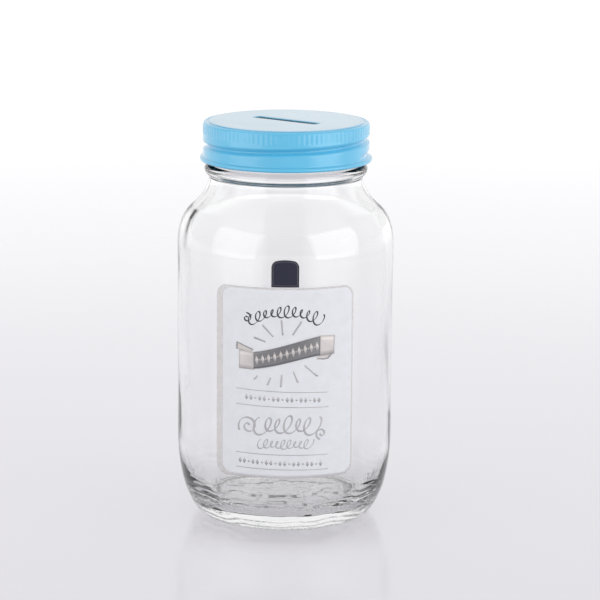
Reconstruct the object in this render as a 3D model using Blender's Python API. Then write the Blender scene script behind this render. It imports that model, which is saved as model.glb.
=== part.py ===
"""Coin bank jar: a glass jar, a slotted metal screw lid with its sealing ring, and two stickers.

Units are metres and +Z is up. The jar stands on z = 0 with its axis on the Z axis, and the coin
slot in the lid runs along X. The stickers face LABEL_AZIMUTH, counted from -Y towards +X.
"""
import math

import bmesh
import bpy

# Clearance between pieces that touch
GAP = 0.0003

# Glass jar
JAR_HEIGHT = 0.1734
BODY_RADIUS = 0.0475
BODY_WALL = 0.0038
HEEL_WIDTH = 0.0135
HEEL_HEIGHT = 0.0360
BEARING_WIDTH = 0.0018
PUSH_UP_HEIGHT = 0.0026
PUSH_UP_SLOPE = 0.0040
FLOOR_THICKNESS = 0.0056
INNER_HEEL_WIDTH = 0.0125
INNER_HEEL_HEIGHT = 0.0240
SHOULDER_DROP = 0.0519
SHOULDER_WIDTH = 0.0100
SHOULDER_HEIGHT = 0.0185
SHOULDER_SWEEP = 65.0
SHOULDER_THICKNESS = 0.0034
NECK_STEP = 0.00025
NECK_FILLET = 0.0110

# Neck finish: wall, rounded rim, handling bead and screw thread
FINISH_RADIUS = 0.03345
FINISH_WALL = 0.00345
RIM_ROUND = 0.0009
BEAD_DROP = 0.0186
BEAD_HALF_HEIGHT = 0.0024
BEAD_REACH = 0.00225
THREAD_PITCH = 0.00635
THREAD_TURNS = 1.19
THREAD_START_ANGLE = math.radians(7.0)
THREAD_START_DROP = 0.0101
THREAD_RUN_OUT = math.radians(24.0)
THREAD_HEIGHT = 0.00145
THREAD_HALF_WIDTH = 0.0015

# Sealing ring
LINER_THICKNESS = 0.0009
LINER_WIDTH = 0.0038
LINER_OVERHANG = 0.0013

# Screw lid
LID_SHEET = 0.00033
LID_HEIGHT = 0.0170
LID_THREAD_CLEARANCE = 0.00127
LID_CREST_CLEARANCE = 0.0010
GROOVE_HALF_WIDTH = 0.0019
GROOVE_BELOW_THREAD = 0.0016
CROWN_WIDTH = 0.0022
CROWN_DROP = 0.0020
MOAT_DEPTH = 0.00037
MOAT_WIDTH = 0.0017
PANEL_RISE = 0.0004
PANEL_EDGE = 0.0012
CURL_RADIUS = 0.00095
SLOT_LENGTH = 0.0340
SLOT_WIDTH = 0.0050
SLOT_CORNER = 0.0007

# Stickers
LABEL_AZIMUTH = math.radians(37.0)
LABEL_WIDTH = 0.0628
LABEL_BOTTOM = 0.0270
LABEL_BELOW_SHOULDER = 0.0105
LABEL_CORNER = 0.0050
STICKER_THICKNESS = 0.00018
CREST_WIDTH = 0.0118
CREST_HEIGHT = 0.0118
CREST_CORNER = 0.0020
CREST_ARCH_RADIUS = 0.0160

# Facets
JAR_SEGMENTS = 48
LID_SEGMENTS = 56
RING_SEGMENTS = 48
THREAD_ROWS = 13
STICKER_ROWS = 20

# Heights and radii that follow from the sizes above
NECK_RADIUS = FINISH_RADIUS + NECK_STEP
MOUTH_RADIUS = FINISH_RADIUS - FINISH_WALL
SHOULDER_BASE = JAR_HEIGHT - SHOULDER_DROP
LABEL_TOP = SHOULDER_BASE - LABEL_BELOW_SHOULDER
THREAD_START = JAR_HEIGHT - THREAD_START_DROP
GROOVE_START = THREAD_START - GROOVE_BELOW_THREAD
LINER_BOTTOM = JAR_HEIGHT + GAP
LINER_TOP = LINER_BOTTOM + LINER_THICKNESS
MOAT_TOP = LINER_TOP + GAP + LID_SHEET
CROWN_TOP = MOAT_TOP + MOAT_DEPTH
PANEL_TOP = CROWN_TOP + PANEL_RISE
LID_BOTTOM = CROWN_TOP - LID_HEIGHT
CURL_TOP = LID_BOTTOM + 2.0 * CURL_RADIUS
LID_INNER = FINISH_RADIUS + THREAD_HEIGHT + LID_THREAD_CLEARANCE
LID_OUTER = LID_INNER + LID_SHEET
GROOVE_DEPTH = LID_INNER - FINISH_RADIUS - LID_CREST_CLEARANCE
CROWN_RADIUS = LID_OUTER - CROWN_WIDTH
MOAT_RADIUS = CROWN_RADIUS - MOAT_WIDTH
PANEL_RADIUS = MOAT_RADIUS - PANEL_EDGE


def clear_scene():
    """Remove every object that is in the scene."""
    for found in list(bpy.data.objects):
        bpy.data.objects.remove(found, do_unlink=True)


def make_material(name, colour, roughness, metallic=0.0, alpha=1.0):
    """Give a Principled material with one colour and finish."""
    material = bpy.data.materials.new(name)
    material.use_nodes = True
    shader = material.node_tree.nodes["Principled BSDF"]
    shader.inputs["Base Color"].default_value = (*colour, 1.0)
    shader.inputs["Roughness"].default_value = roughness
    shader.inputs["Metallic"].default_value = metallic
    shader.inputs["Alpha"].default_value = alpha
    return material


def add_object(name, form, material):
    """Turn a bmesh into a smooth-shaded object with its material."""
    bmesh.ops.recalc_face_normals(form, faces=form.faces[:])
    mesh = bpy.data.meshes.new(name)
    form.to_mesh(mesh)
    form.free()
    mesh.shade_smooth()
    mesh.set_sharp_from_angle(angle=math.radians(35.0))
    piece = bpy.data.objects.new(name, mesh)
    bpy.context.scene.collection.objects.link(piece)
    piece.data.materials.append(material)
    return piece


def arc(centre, semi_axes, start, end, steps):
    """Give points on an ellipse from one angle to another, in degrees, both ends included."""
    points = []
    for step in range(steps + 1):
        angle = math.radians(start + (end - start) * step / steps)
        radius = centre[0] + semi_axes[0] * math.cos(angle)
        height = centre[1] + semi_axes[1] * math.sin(angle)
        points.append((radius, height))
    return points


def shoulder_outline(body_radius, size, neck_radius, neck_top):
    """Give the shoulder from the body up to the neck: rounded out, then hollowed into the neck."""
    shoulder = arc((body_radius - size[0], SHOULDER_BASE), size, 0.0, SHOULDER_SWEEP, 6)
    end = shoulder[-1]
    slope = size[1] / (size[0] * math.tan(math.radians(SHOULDER_SWEEP)))
    corner = (neck_radius, end[1] + slope * (end[0] - neck_radius))
    neck = (neck_radius, neck_top)
    return shoulder + fillet(end, corner, neck, 6) + [neck]


def fillet(start, corner, end, steps=3):
    """Give the points between start and end of a curve that bends round a corner."""
    points = []
    for step in range(1, steps):
        t = step / steps
        weights = ((1.0 - t) ** 2, 2.0 * t * (1.0 - t), t ** 2)
        radius = sum(w * p[0] for w, p in zip(weights, (start, corner, end)))
        height = sum(w * p[1] for w, p in zip(weights, (start, corner, end)))
        points.append((radius, height))
    return points


def spread(low, high, steps):
    """Give evenly spaced values from low to high, both included."""
    return [low + (high - low) * step / steps for step in range(steps + 1)]


def helix_share(angle, height, start_height, half_width):
    """Give 0 to 1 for how far a point lies on the helical thread, which fades at both ends."""
    strongest = 0.0
    full_angle = math.tau * THREAD_TURNS
    for turn in range(-1, math.ceil(THREAD_TURNS) + 1):
        along = angle - THREAD_START_ANGLE + math.tau * turn
        if not 0.0 <= along <= full_angle:
            continue
        centre = start_height + THREAD_PITCH * along / math.tau
        across = abs(height - centre) / half_width
        if across >= 1.0:
            continue
        fade = min(1.0, along / THREAD_RUN_OUT, (full_angle - along) / THREAD_RUN_OUT)
        strongest = max(strongest, fade * math.cos(0.5 * math.pi * across) ** 2)
    return strongest


def lathe(rows, segments, relief=None, closed=False):
    """Turn a profile of (radius, height) rows round the Z axis.

    An open profile starts and ends on the axis. relief gives the radius to add at an angle,
    radius and height.
    """
    form = bmesh.new()
    rings = []
    for radius, height in rows:
        if radius == 0.0:
            rings.append([form.verts.new((0.0, 0.0, height))])
            continue
        ring = []
        for segment in range(segments):
            angle = math.tau * segment / segments
            reach = radius + (relief(angle, radius, height) if relief else 0.0)
            place = (reach * math.cos(angle), reach * math.sin(angle), height)
            ring.append(form.verts.new(place))
        rings.append(ring)
    pairs = list(zip(rings, rings[1:]))
    if closed:
        pairs.append((rings[-1], rings[0]))
    for first, second in pairs:
        for here in range(segments):
            there = (here + 1) % segments
            corners = [first[here % len(first)], first[there % len(first)]]
            corners += [second[there % len(second)], second[here % len(second)]]
            form.faces.new(list(dict.fromkeys(corners)))
    return form


def body_outline():
    """Give the outer side of the glass from the bearing ring up to the neck."""
    heel_centre = (BODY_RADIUS - HEEL_WIDTH, HEEL_HEIGHT)
    heel = arc(heel_centre, (HEEL_WIDTH, HEEL_HEIGHT), -90.0, 0.0, 12)
    neck_top = SHOULDER_BASE + SHOULDER_HEIGHT + NECK_FILLET
    size = (SHOULDER_WIDTH, SHOULDER_HEIGHT)
    return heel + shoulder_outline(BODY_RADIUS, size, NECK_RADIUS, neck_top)


def outer_radius(height):
    """Give the outer radius of the glass body at a height."""
    outline = body_outline()
    for (r0, z0), (r1, z1) in zip(outline, outline[1:]):
        if z0 <= height <= z1:
            return r0 + (r1 - r0) * (height - z0) / (z1 - z0)
    return BODY_RADIUS


def finish_outline():
    """Give the outer side of the glass from the handling bead up to the rim."""
    bead = (FINISH_RADIUS, JAR_HEIGHT - BEAD_DROP)
    rows = arc(bead, (BEAD_REACH, BEAD_HALF_HEIGHT), -80.0, 80.0, 6)
    low = THREAD_START - THREAD_HALF_WIDTH
    rows.append((FINISH_RADIUS, 0.5 * (rows[-1][1] + low)))
    rows += [(FINISH_RADIUS, z) for z in spread(low, JAR_HEIGHT - RIM_ROUND, THREAD_ROWS)]
    rim = (FINISH_RADIUS - RIM_ROUND, JAR_HEIGHT - RIM_ROUND)
    rows += arc(rim, (RIM_ROUND, RIM_ROUND), 45.0, 90.0, 1)
    return rows


def inner_outline():
    """Give the inner side of the glass from the rim down to the floor."""
    rim = (MOUTH_RADIUS + RIM_ROUND, JAR_HEIGHT - RIM_ROUND)
    rows = arc(rim, (RIM_ROUND, RIM_ROUND), 90.0, 180.0, 2)
    inner_radius = BODY_RADIUS - BODY_WALL
    size = (0.9 * SHOULDER_WIDTH, SHOULDER_HEIGHT - 0.5 * SHOULDER_THICKNESS)
    neck_top = SHOULDER_BASE + SHOULDER_HEIGHT + NECK_FILLET
    shoulder = shoulder_outline(inner_radius, size, MOUTH_RADIUS, neck_top)[::-1]
    floor = PUSH_UP_HEIGHT + FLOOR_THICKNESS
    heel_centre = (inner_radius - INNER_HEEL_WIDTH, floor + INNER_HEEL_HEIGHT)
    heel = arc(heel_centre, (INNER_HEEL_WIDTH, INNER_HEEL_HEIGHT), 0.0, -90.0, 6)
    return rows + shoulder + heel


def make_glass_jar(material):
    """Make the jar: bearing ring, push-up, body, shoulder, threaded neck and hollow inside."""
    bearing_inner = BODY_RADIUS - HEEL_WIDTH - BEARING_WIDTH
    floor = PUSH_UP_HEIGHT + FLOOR_THICKNESS
    rows = [(0.0, PUSH_UP_HEIGHT), (bearing_inner - PUSH_UP_SLOPE, 0.75 * PUSH_UP_HEIGHT)]
    rows += [(bearing_inner - 0.3 * PUSH_UP_SLOPE, 0.25 * PUSH_UP_HEIGHT), (bearing_inner, 0.0)]
    rows += body_outline() + finish_outline() + inner_outline() + [(0.0, floor)]

    def thread(angle, radius, height):
        if radius != FINISH_RADIUS:
            return 0.0
        return THREAD_HEIGHT * helix_share(angle, height, THREAD_START, THREAD_HALF_WIDTH)

    return add_object("glass_jar", lathe(rows, JAR_SEGMENTS, thread), material)


def make_sealing_ring(material):
    """Make the flat ring that seals between the glass rim and the lid."""
    outer = FINISH_RADIUS + LINER_OVERHANG
    inner = outer - LINER_WIDTH
    rows = [(inner, LINER_TOP), (outer, LINER_TOP), (outer, LINER_BOTTOM), (inner, LINER_BOTTOM)]
    return add_object("sealing_ring", lathe(rows, RING_SEGMENTS, closed=True), material)


def lid_top(offset):
    """Give the lid's top from the axis to the skirt, lowered by an offset into the sheet."""
    panel = PANEL_TOP - offset
    moat = MOAT_TOP - offset
    rows = [(0.0, panel), (0.8 * PANEL_RADIUS, panel), (PANEL_RADIUS, panel)]
    rows += [(PANEL_RADIUS + 0.4 * PANEL_EDGE, 0.5 * (panel + moat)), (MOAT_RADIUS, moat)]
    size = (CROWN_WIDTH - offset, CROWN_DROP - offset)
    return rows + arc((CROWN_RADIUS, CROWN_TOP - CROWN_DROP), size, 110.0, 0.0, 5)


def make_slot_cutter():
    """Make the cutter that opens the coin slot in the lid's panel."""
    form = bmesh.new()
    bmesh.ops.create_cube(form, size=1.0)
    bmesh.ops.scale(form, verts=form.verts, vec=(SLOT_LENGTH, SLOT_WIDTH, 12.0 * LID_SHEET))
    bmesh.ops.translate(form, verts=form.verts, vec=(0.0, 0.0, PANEL_TOP - 0.5 * LID_SHEET))
    upright = [edge for edge in form.edges if abs(edge.verts[0].co.z - edge.verts[1].co.z) > 0.0]
    bmesh.ops.bevel(form, geom=upright, offset=SLOT_CORNER, segments=3, profile=0.5,
                    affect="EDGES")
    cutter = add_object("slot_cutter", form, make_material("guide", (0.5, 0.5, 0.5), 0.5))
    cutter.hide_render = True
    cutter.display_type = "WIRE"
    return cutter


def make_screw_lid(material):
    """Make the lid: raised panel, moat, crown, skirt with its thread groove, and rolled edge."""
    skirt_top = CROWN_TOP - CROWN_DROP
    skirt_heights = spread(skirt_top, CURL_TOP + 0.3 * CURL_RADIUS, THREAD_ROWS)[1:]
    rows = lid_top(0.0) + [(LID_OUTER, z) for z in skirt_heights]
    curl_centre = (LID_OUTER + 0.35 * CURL_RADIUS, LID_BOTTOM + CURL_RADIUS)
    rows += arc(curl_centre, (CURL_RADIUS, CURL_RADIUS), 70.0, -90.0, 4)
    rows += [(LID_INNER, LID_BOTTOM + 0.2 * CURL_RADIUS)]
    rows += [(LID_INNER, z) for z in reversed(skirt_heights)] + lid_top(LID_SHEET)[::-1]

    def groove(angle, radius, height):
        if radius < LID_INNER or height < CURL_TOP:
            return 0.0
        return -GROOVE_DEPTH * helix_share(angle, height, GROOVE_START, GROOVE_HALF_WIDTH)

    lid = add_object("screw_lid", lathe(rows, LID_SEGMENTS, groove), material)
    cut = lid.modifiers.new("coin slot", "BOOLEAN")
    cut.operation = "DIFFERENCE"
    cut.solver = "EXACT"
    cut.object = make_slot_cutter()
    return lid


def corner_columns(width, corner):
    """Give across positions of a sticker's columns, and how far its corners cut in there."""
    columns = []
    for step in range(4):
        angle = 0.5 * math.pi * step / 4
        drop = corner * (1.0 - math.sin(angle))
        columns.append((-0.5 * width + corner * (1.0 - math.cos(angle)), drop))
    steps = max(2, round((width - 2.0 * corner) / 0.004))
    straight = [(x, 0.0) for x in spread(-0.5 * width + corner, 0.5 * width - corner, steps)]
    return columns + straight + [(-x, drop) for x, drop in reversed(columns)]


def make_sticker(name, columns, material):
    """Make a thin film that follows the glass, from columns of (across, bottom, top)."""
    form = bmesh.new()
    layers = []
    for offset in (GAP, GAP + STICKER_THICKNESS):
        layer = []
        for across, bottom, top in columns:
            angle = LABEL_AZIMUTH - 0.5 * math.pi + across / BODY_RADIUS
            column = []
            for height in spread(bottom, top, STICKER_ROWS):
                radius = outer_radius(height) + offset
                place = (radius * math.cos(angle), radius * math.sin(angle), height)
                column.append(form.verts.new(place))
            layer.append(column)
        layers.append(layer)
    last = len(columns) - 1
    for left in range(last):
        for low in range(STICKER_ROWS):
            for layer in layers:
                here, there = layer[left], layer[left + 1]
                form.faces.new((here[low], there[low], there[low + 1], here[low + 1]))
    inner, outer = layers
    for left in range(last):
        for row in (0, STICKER_ROWS):
            edge = (inner[left][row], inner[left + 1][row], outer[left + 1][row], outer[left][row])
            form.faces.new(edge)
    for side in (0, last):
        for low in range(STICKER_ROWS):
            edge = (inner[side][low], inner[side][low + 1], outer[side][low + 1], outer[side][low])
            form.faces.new(edge)
    return add_object(name, form, material)


def make_front_label(material):
    """Make the large rounded label on the front of the body."""
    columns = []
    for x, drop in corner_columns(LABEL_WIDTH, LABEL_CORNER):
        columns.append((x, LABEL_BOTTOM + drop, LABEL_TOP - drop))
    return make_sticker("front_label", columns, material)


def make_crest_sticker(material):
    """Make the small arched sticker that stands on the label's top edge."""
    bottom = LABEL_TOP + GAP
    columns = []
    for x, drop in corner_columns(CREST_WIDTH, CREST_CORNER):
        arch = CREST_ARCH_RADIUS - math.sqrt(CREST_ARCH_RADIUS ** 2 - x ** 2)
        columns.append((x, bottom, bottom + CREST_HEIGHT - arch - drop))
    return make_sticker("crest_sticker", columns, material)


def main():
    """Build every piece of the coin bank jar."""
    clear_scene()
    make_glass_jar(make_material("clear_glass", (0.86, 0.90, 0.90), 0.03, alpha=0.35))
    make_screw_lid(make_material("blue_enamel", (0.17, 0.55, 0.80), 0.28))
    make_sealing_ring(make_material("liner_rubber", (0.86, 0.85, 0.82), 0.60))
    make_front_label(make_material("label_film", (0.70, 0.72, 0.76), 0.45))
    make_crest_sticker(make_material("navy_film", (0.03, 0.035, 0.09), 0.40))


main()
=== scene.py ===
"""Coin bank jar: a clear glass jar, its slotted blue screw lid with a sealing ring, and stickers.

Everything is in metres with +Z up. The jar stands on z = 0 with its axis on the Z axis, the coin
slot runs along X, and the stickers face the label's azimuth, counted from -Y towards +X. Printed
layers are first laid out flat, with X across, Z up and -Y out of the glass, and a Geometry Nodes
tree then wraps them round the jar.
"""
import math

import bmesh
import bpy
import numpy as np
from bpy.props import FloatProperty, FloatVectorProperty, IntProperty, PointerProperty
from mathutils import Matrix, Vector


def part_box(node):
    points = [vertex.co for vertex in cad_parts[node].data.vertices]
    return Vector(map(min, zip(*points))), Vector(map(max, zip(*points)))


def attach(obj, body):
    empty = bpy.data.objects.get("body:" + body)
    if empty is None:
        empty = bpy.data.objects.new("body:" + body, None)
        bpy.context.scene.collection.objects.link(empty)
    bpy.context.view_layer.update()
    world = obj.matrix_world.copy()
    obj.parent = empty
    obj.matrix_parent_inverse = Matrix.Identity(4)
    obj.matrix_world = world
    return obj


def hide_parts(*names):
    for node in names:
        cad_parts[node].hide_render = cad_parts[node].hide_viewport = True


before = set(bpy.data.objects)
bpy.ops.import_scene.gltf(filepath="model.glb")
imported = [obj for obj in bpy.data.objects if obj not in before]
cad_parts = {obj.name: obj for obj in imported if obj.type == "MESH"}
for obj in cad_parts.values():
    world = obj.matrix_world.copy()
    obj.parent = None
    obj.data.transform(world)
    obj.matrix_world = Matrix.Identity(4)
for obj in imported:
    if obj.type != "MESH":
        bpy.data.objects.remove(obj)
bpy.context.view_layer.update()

bl_info = {
    "name": "Coin Bank Jar",
    "version": (1, 0, 0),
    "blender": (4, 5, 0),
    "location": "View3D > Sidebar > Coin Jar",
    "description": "Makes a glass coin bank jar with its screw lid, stickers and studio",
    "category": "Add Mesh",
}

JAR_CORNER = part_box("glass_jar")[1]
LID_LOW, LID_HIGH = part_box("screw_lid")
RING_LOW, RING_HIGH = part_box("sealing_ring")
LABEL_LOW, LABEL_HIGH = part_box("front_label")
CREST_LOW, CREST_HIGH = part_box("crest_sticker")
MM = 0.001


# ---- Settings --------------------------------------------------------------------------------

def length(label, text, default):
    """Give a property that holds a length in metres."""
    return FloatProperty(name=label, description=text, default=default, unit="LENGTH", precision=5)


def count(label, text, default):
    """Give a property that holds a number of like features."""
    return IntProperty(name=label, description=text, default=default, min=1)


def turn(label, text, degrees):
    """Give a property that holds an angle."""
    return FloatProperty(name=label, description=text, default=math.radians(degrees),
                         subtype="ANGLE")


def colour(label, text, default):
    """Give a property that holds a linear colour."""
    return FloatVectorProperty(name=label, description=text, default=default, subtype="COLOR",
                               min=0.0, max=1.0)


class JarSizes(bpy.types.PropertyGroup):
    """Sizes of the glass jar."""
    height: length("Height", "Height of the glass to its rim", JAR_CORNER.z)
    body_radius: length("Body radius", "Outer radius of the straight body", JAR_CORNER.x)
    wall: length("Wall", "Thickness of the body's wall", 0.0038)
    heel_width: length("Heel width", "How far the heel curves in", 0.0135)
    heel_height: length("Heel height", "Height of the curved heel", 0.0360)
    bearing_width: length("Bearing width", "Width of the ring that the jar stands on", 0.0018)
    push_up: length("Push-up", "Height of the hollow under the jar", 0.0026)
    push_up_slope: length("Push-up slope", "Width of the hollow's sloping edge", 0.0040)
    floor: length("Floor", "Thickness of the glass floor", 0.0056)
    inner_heel_width: length("Inner heel width", "How far the inner heel curves in", 0.0125)
    inner_heel_height: length("Inner heel height", "Height of the inner heel", 0.0240)
    shoulder_drop: length("Shoulder drop", "From the rim down to the shoulder's foot", 0.0519)
    shoulder_width: length("Shoulder width", "How far the round of the shoulder curves in", 0.0100)
    shoulder_height: length("Shoulder height", "Height of the rounded shoulder", 0.0185)
    shoulder_sweep: turn("Shoulder sweep", "Where the round turns into the hollow", 65.0)
    shoulder_wall: length("Shoulder wall", "Thickness of the shoulder", 0.0034)
    neck_fillet: length("Neck fillet", "Height of the hollow from shoulder to neck", 0.0110)
    finish_radius: length("Finish radius", "Outer radius of the threaded neck", 0.03345)
    finish_wall: length("Finish wall", "Thickness of the threaded neck", 0.00345)
    rim_round: length("Rim round", "Radius of the rim's edges", 0.0009)
    bead_drop: length("Bead drop", "From the rim down to the bead's middle", 0.0186)
    bead_half: length("Bead half height", "Half the height of the bead under the lid", 0.0024)
    bead_reach: length("Bead reach", "How far the bead stands out", 0.00225)
    seam_height: length("Seam height", "How far the mould seams stand out", 0.00006)
    seam_half: length("Seam half width", "Half the width of a mould seam", 0.00035)
    wave: length("Wave", "Largest waviness of the inner wall", 0.00024)
    ripple: length("Ripple", "Height of the rings that pressing leaves in the floor", 0.00030)
    ripple_width: length("Ripple width", "Distance between those rings", 0.0058)
    ripple_top: length("Ripple top", "Height at which those rings have died away", 0.0260)
    stipples: count("Stipples", "Number of notches in the bearing ring", 84)
    stipple_height: length("Stipple height", "Depth of the notches in the bearing ring", 0.00035)


class ThreadSizes(bpy.types.PropertyGroup):
    """Sizes of the screw thread on the neck, and of its groove in the lid."""
    pitch: length("Pitch", "Rise of the thread in one turn", 0.00635)
    turns: FloatProperty(name="Turns", description="Length of the thread in turns", default=1.19)
    start: turn("Start", "Where the thread starts round the neck", 7.0)
    start_drop: length("Start drop", "From the rim down to the thread's start", 0.0101)
    run_out: turn("Run-out", "Length over which the thread fades at each end", 24.0)
    height: length("Height", "How far the thread stands out", 0.00145)
    half_width: length("Half width", "Half the width of the thread's foot", 0.0015)
    groove_drop: length("Groove drop", "How far the lid's groove lies below the thread", 0.0016)
    groove_depth: length("Groove depth", "Depth of the groove in the lid", 0.00172)
    groove_half: length("Groove half width", "Half the width of the lid's groove", 0.0019)


class LidSizes(bpy.types.PropertyGroup):
    """Sizes of the screw lid and of its sealing ring."""
    top: length("Top", "Height of the raised panel", LID_HIGH.z)
    bottom: length("Bottom", "Height of the rolled edge's underside", LID_LOW.z)
    skirt_radius: length("Skirt radius", "Outer radius of the lid's skirt", 0.0365)
    sheet: length("Sheet", "Thickness of the sheet metal", 0.00033)
    crown_width: length("Crown width", "Width of the rounded top edge", 0.0012)
    crown_drop: length("Crown drop", "Height of the rounded top edge", 0.0014)
    moat_width: length("Moat width", "Width of the step inside the crown", 0.0010)
    moat_depth: length("Moat depth", "Depth of the step inside the crown", 0.00037)
    panel_rise: length("Panel rise", "How far the panel stands above the crown", 0.0004)
    panel_edge: length("Panel edge", "Width of the panel's sloping edge", 0.0009)
    curl_radius: length("Curl radius", "Radius of the rolled bottom edge", 0.00095)
    slot_length: length("Slot length", "Length of the coin slot", 0.0340)
    slot_width: length("Slot width", "Width of the coin slot", 0.0050)
    slot_corner: length("Slot corner", "Radius of the coin slot's corners", 0.0007)
    lip: length("Lip", "Depth of the turned-down edge of the slot", 0.0005)
    lip_bend: length("Lip bend", "Radius of the slot's turned-down edge", 0.00038)
    flutes: count("Flutes", "Number of fine grip flutes round the skirt", 104)
    flute_depth: length("Flute depth", "Depth of a grip flute", 0.00017)
    flute_top: length("Flute top", "How far below the panel the flutes start", 0.0008)
    flute_bottom: length("Flute bottom", "How far below the panel the flutes end", 0.0060)
    ring_inner: length("Ring bore", "Inner radius of the sealing ring", 0.03095)
    ring_outer: length("Ring outer radius", "Outer radius of the sealing ring", 0.03475)


class LabelSizes(bpy.types.PropertyGroup):
    """Sizes of the stickers on the jar and of the layers printed on them."""
    azimuth: turn("Azimuth", "Where the stickers face, from -Y towards +X", 37.0)
    width: length("Width", "Width of the label's film round the glass", 0.0628)
    bottom: length("Bottom", "Height of the label's lower edge", LABEL_LOW.z)
    top: length("Top", "Height of the label's upper edge", LABEL_HIGH.z)
    corner: length("Corner", "Radius of the label's corners", 0.0050)
    left_margin: length("Left margin", "Clear film left of the white print", 0.0033)
    margin: length("Margin", "Clear film round the rest of the white print", 0.0008)
    film_lift: length("Film lift", "Clearance between film and glass", 0.00006)
    layer: length("Layer", "Thickness of one printed layer", 0.00006)
    crest_width: length("Crest width", "Width of the crest sticker", 0.0118)
    crest_corner: length("Crest corner", "Radius of the crest sticker's corners", 0.0020)
    crest_arch: length("Crest arch", "Radius of the crest sticker's arched top", 0.0160)


class Finishes(bpy.types.PropertyGroup):
    """Colours of the finishes."""
    glass: colour("Glass", "Clear glass", (0.966, 0.968, 0.970))
    enamel: colour("Enamel", "Blue enamel of the lid", (0.085, 0.500, 0.780))
    liner: colour("Liner", "Sealing compound", (0.80, 0.79, 0.75))
    film: colour("Film", "Clear margin of the label", (0.66, 0.63, 0.63))
    white: colour("White print", "White ground of the label", (0.78, 0.79, 0.83))
    silver: colour("Silver", "Silver foil print", (0.50, 0.49, 0.50))
    band: colour("Band", "Dark middle of the ribbon", (0.24, 0.24, 0.25))
    pearl: colour("Pearl", "Pale ends of the ribbon", (0.60, 0.565, 0.555))
    ink: colour("Ink", "Dark ink", (0.035, 0.035, 0.045))
    navy: colour("Navy", "Crest sticker", (0.006, 0.007, 0.030))


class StudioSettings(bpy.types.PropertyGroup):
    """The floor, the lights and the camera."""
    distance: length("Distance", "From the camera to the point it looks at", 1.200)
    elevation: turn("Elevation", "Height angle of the camera", 12.5)
    roll: turn("Roll", "Tilt of the camera about its line of sight", 0.389)
    lens: FloatProperty(name="Lens", description="Focal length in millimetres", default=162.4)
    aim: length("Aim height", "Height of the point that the camera looks at", 0.0870)
    light_side: turn("Light side", "Angle of each soft light from the camera", 57.0)
    light_reach: length("Light distance", "From the jar to each soft light", 0.95)
    light_width: length("Light width", "Width of a soft light", 0.92)
    light_height: length("Light height", "Height of a soft light", 0.85)
    light_power: FloatProperty(name="Light power", description="Power of a soft light in watts",
                               default=2.9)
    light_bias: FloatProperty(name="Light bias", description="How much stronger the right is",
                              default=0.14)
    sky: FloatProperty(name="Sky", description="Brightness behind and above the jar", default=0.95)
    shade: FloatProperty(name="Shade", description="Brightness on the camera's side", default=0.68)
    floor_glow: FloatProperty(name="Floor glow", description="Brightness of the far floor",
                              default=1.0)


# ---- Node sockets in Python arithmetic -------------------------------------------------------

def operators(operation):
    """Give a Python operator that adds a Math node, and its form with the wire on the right."""
    def forward(self, other):
        return self.maths(operation, self, other)

    def reflected(self, other):
        return self.maths(operation, other, self)

    return forward, reflected


class Wire:
    """A node's output that takes part in arithmetic, and that adds the other nodes of its tree."""

    def __init__(self, tree, output=None):
        self.tree = tree
        self.output = output

    def node(self, kind, settings=None, values=None, output=0):
        """Add a node: settings first, then the values or links of its sockets."""
        added = self.tree.nodes.new(kind)
        for name, setting in (settings or {}).items():
            setattr(added, name, setting)
        feed(added, values or {})
        return Wire(self.tree, added.outputs[output] if added.outputs else None)

    def maths(self, operation, *operands):
        """Add a Math node on the operands, in their order."""
        values = dict(enumerate(operands))
        return self.node("ShaderNodeMath", {"operation": operation}, values)

    def vector(self, operation, *operands):
        """Add a Vector Math node on the operands, in their order."""
        values = dict(enumerate(operands))
        return self.node("ShaderNodeVectorMath", {"operation": operation}, values)

    def mix(self, first, second):
        """Mix two colours, with this value as the share of the second."""
        return self.node("ShaderNodeMix", {"data_type": "RGBA"},
                         {0: self, 6: opaque(first), 7: opaque(second)}, output=2)

    def ease(self, low, high):
        """Rise smoothly from 0 at one value to 1 at another."""
        return self.node("ShaderNodeMapRange", {"interpolation_type": "SMOOTHSTEP"},
                         {"Value": self, "From Min": low, "From Max": high})

    def part(self, axis):
        """Give the X, Y or Z part of a vector."""
        return self.node("ShaderNodeSeparateXYZ", None, {0: self}, output="XYZ".index(axis))

    __add__, __radd__ = operators("ADD")
    __sub__, __rsub__ = operators("SUBTRACT")
    __mul__, __rmul__ = operators("MULTIPLY")
    __truediv__, __rtruediv__ = operators("DIVIDE")
    __pow__, __rpow__ = operators("POWER")


def feed(node, values):
    """Link or set a node's input sockets."""
    for name, value in values.items():
        if isinstance(value, Wire):
            node.id_data.links.new(value.output, node.inputs[name])
        else:
            node.inputs[name].default_value = value


def opaque(tint):
    """Give a colour of three numbers its full alpha, and leave a wire as it is."""
    return tint if isinstance(tint, Wire) else (*tint[:3], 1.0)


# ---- Finishes --------------------------------------------------------------------------------

def new_finish(name):
    """Start a material and give it, a wire on its object coordinates and its Principled shader."""
    material = bpy.data.materials.new(name)
    material.use_nodes = True
    start = Wire(material.node_tree)
    place = start.node("ShaderNodeTexCoord", output="Object")
    return material, place, material.node_tree.nodes["Principled BSDF"]


def noise(place, scale, detail=2.0, roughness=0.5):
    """Give a noise value round 0.5 with features about 1 / scale metres across."""
    return place.node("ShaderNodeTexNoise", None, {"Vector": place, "Scale": scale,
                                                   "Detail": detail, "Roughness": roughness})


def bump(height, distance):
    """Give the normals of a surface raised by a height times a distance."""
    return height.node("ShaderNodeBump", None, {"Distance": distance, "Height": height})


def axis_distance(place):
    """Give the distance from the jar's axis."""
    x, y = place.part("X"), place.part("Y")
    return (x * x + y * y) ** 0.5


def shade(tint, share):
    """Give a colour times a number."""
    return tuple(share * part for part in tint[:3])


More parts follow.
